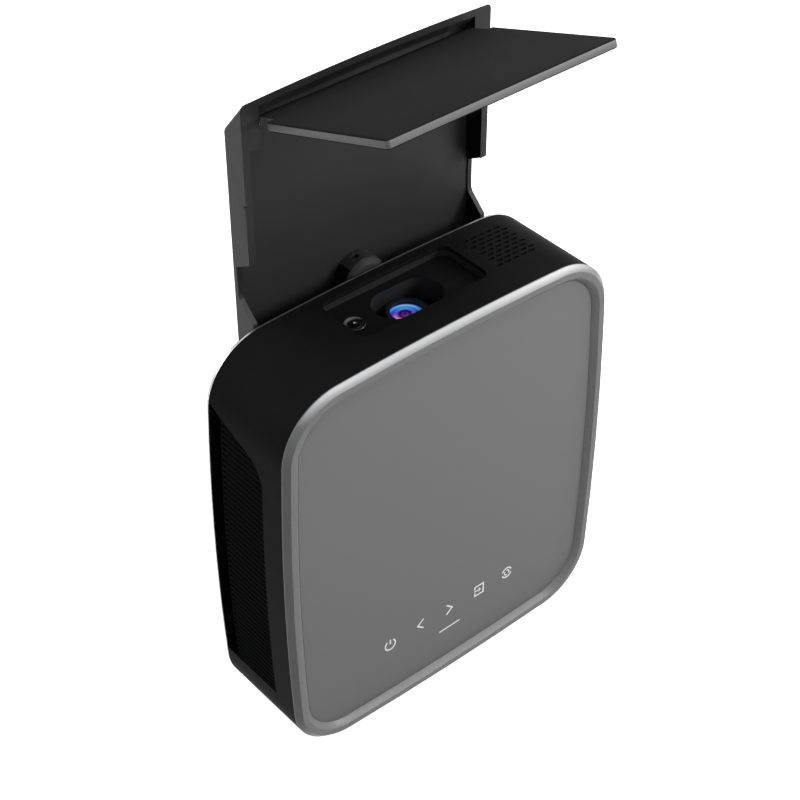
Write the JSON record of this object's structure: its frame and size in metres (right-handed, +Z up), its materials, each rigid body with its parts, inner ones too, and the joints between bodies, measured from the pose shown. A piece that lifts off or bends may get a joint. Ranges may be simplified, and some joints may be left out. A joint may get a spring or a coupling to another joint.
{
  "type": "projector with disc drive",
  "caption": "Upright table projector with a hinged mirror hood, a lens in a top bay, a touch panel and a sliding disc drawer.",
  "frame": {"origin": "middle of the four feet, on the surface that they stand on", "axes": "+Z up, -Y out of the touch panel, +X to the viewer's right, on the disc drawer's side"},
  "size_m": [0.18, 0.0877, 0.3206],
  "materials": {
    "bezel_grey": "satin painted plastic",
    "panel_grey": "gloss back-painted panel",
    "shell_black": "high gloss dark plastic",
    "vent_black": "fine matt dark plastic",
    "hood_grey": "satin dark grey plastic",
    "flap_grey": "satin dark grey plastic",
    "trim_silver": "bright anodised",
    "rubber_black": "matt rubber",
    "lens_glass": "coated glass",
    "mirror_glass": "front silvered glass",
    "steel": "plated steel",
    "bare_aluminium": "cast or extruded aluminium",
    "brass": "turned brass",
    "board_green": "circuit board with solder mask",
    "drive_plastic": "moulded dark plastic"
  },
  "bodies": {
    "root": {"audio_socket": "drive_plastic", "board_standoffs": "brass", "chassis_plate": "steel", "cover_screws": "steel", "drive_case": "steel", "fan_frame": "drive_plastic", "focus_motor": "steel", "friction_washers": "steel", "front_bezel": "bezel_grey", "front_panel": "panel_grey", "grub_screw": "steel", "heat_sink": "bare_aluminium", "hinge_block_left": "hood_grey", "hinge_block_right": "hood_grey", "hood_screws": "steel", "hood_shell": "hood_grey", "left_vent": "vent_black", "lens_tube": "drive_plastic", "light_engine": "bare_aluminium", "main_board": "board_green", "main_shell": "shell_black", "power_board": "board_green", "power_socket": "drive_plastic", "rear_cover": "vent_black", "rear_trim": "trim_silver", "rubber_feet": "rubber_black", "sensor_bezel": "shell_black", "sensor_lens": "shell_black", "speaker_box": "drive_plastic", "speaker_driver": "drive_plastic", "speaker_grille": "vent_black", "stand_insert": "brass", "top_bay": "vent_black", "touch_board": "board_green", "usb_socket": "steel", "video_socket": "steel"},
    "flap": {"flap_cover": "flap_grey", "mirror": "mirror_glass", "hinge_pins": "steel"},
    "lens": {"lens_cell": "drive_plastic", "front_lens": "lens_glass", "lens_ring": "drive_plastic"},
    "tray": {"disc_tray": "drive_plastic", "drawer_front": "shell_black", "traverse_plate": "steel", "guide_rods": "steel", "sled_motor": "steel", "spindle_motor": "steel"},
    "fan": {"fan_rotor": "drive_plastic"},
    "focus_screw": {"focus_screw": "steel"},
    "rails": {"slide_rails": "steel"},
    "turntable": {"turntable": "drive_plastic"},
    "pickup": {"pickup_sled": "drive_plastic", "pickup_lens": "lens_glass"},
    "lead_screw": {"lead_screw": "brass"},
    "eject_button": {"eject_button": "shell_black"}
  },
  "joints": [
    {"name": "flap_hinge", "type": "hinge", "parent": "root", "child": "flap", "pos_m": [0, 0.0285, 0.29166], "axis": [-1, 0, 0], "range_deg": [-109.2, 30.8]},
    {"name": "tray_slide", "type": "slide", "parent": "root", "child": "tray", "axis": [1, 0, 0], "range_m": [0, 0.126]},
    {"name": "rail_slide", "type": "slide", "parent": "root", "child": "rails", "axis": [1, 0, 0], "range_m": [0, 0.063]},
    {"name": "turntable_spin", "type": "hinge", "parent": "tray", "child": "turntable", "pos_m": [0.0228, -0.0154, 0.094], "axis": [0, -1, 0], "continuous": true},
    {"name": "pickup_slide", "type": "slide", "parent": "tray", "child": "pickup", "axis": [-0.7071, 0, -0.7071], "range_m": [0, 0.032]},
    {"name": "lead_screw_spin", "type": "hinge", "parent": "tray", "child": "lead_screw", "pos_m": [0.01325, -0.014, 0.06112], "axis": [-0.7071, 0, -0.7071], "range_deg": [0, 3840]},
    {"name": "focus_slide", "type": "slide", "parent": "root", "child": "lens", "axis": [0, 0, 1], "range_m": [-0.0015, 0.0015]},
    {"name": "focus_screw_spin", "type": "hinge", "parent": "root", "child": "focus_screw", "pos_m": [0.0179, 0.006, 0.168], "axis": [0, 0, 1], "range_deg": [-540, 540]},
    {"name": "fan_spin", "type": "hinge", "parent": "root", "child": "fan", "pos_m": [-0.072, 0.003, 0.132], "axis": [1, 0, 0], "continuous": true},
    {"name": "eject_press", "type": "slide", "parent": "tray", "child": "eject_button", "axis": [-1, 0, 0], "range_m": [0, 0.0008], "stiffness_N_per_m": 400}
  ],
  "couplings": [
    {"joint": "rail_slide", "follows": "tray_slide", "ratio": 0.5},
    {"joint": "lead_screw_spin", "follows": "pickup_slide", "rad_per_m": 2094.4},
    {"joint": "focus_screw_spin", "follows": "focus_slide", "rad_per_m": 6283.2}
  ]
}
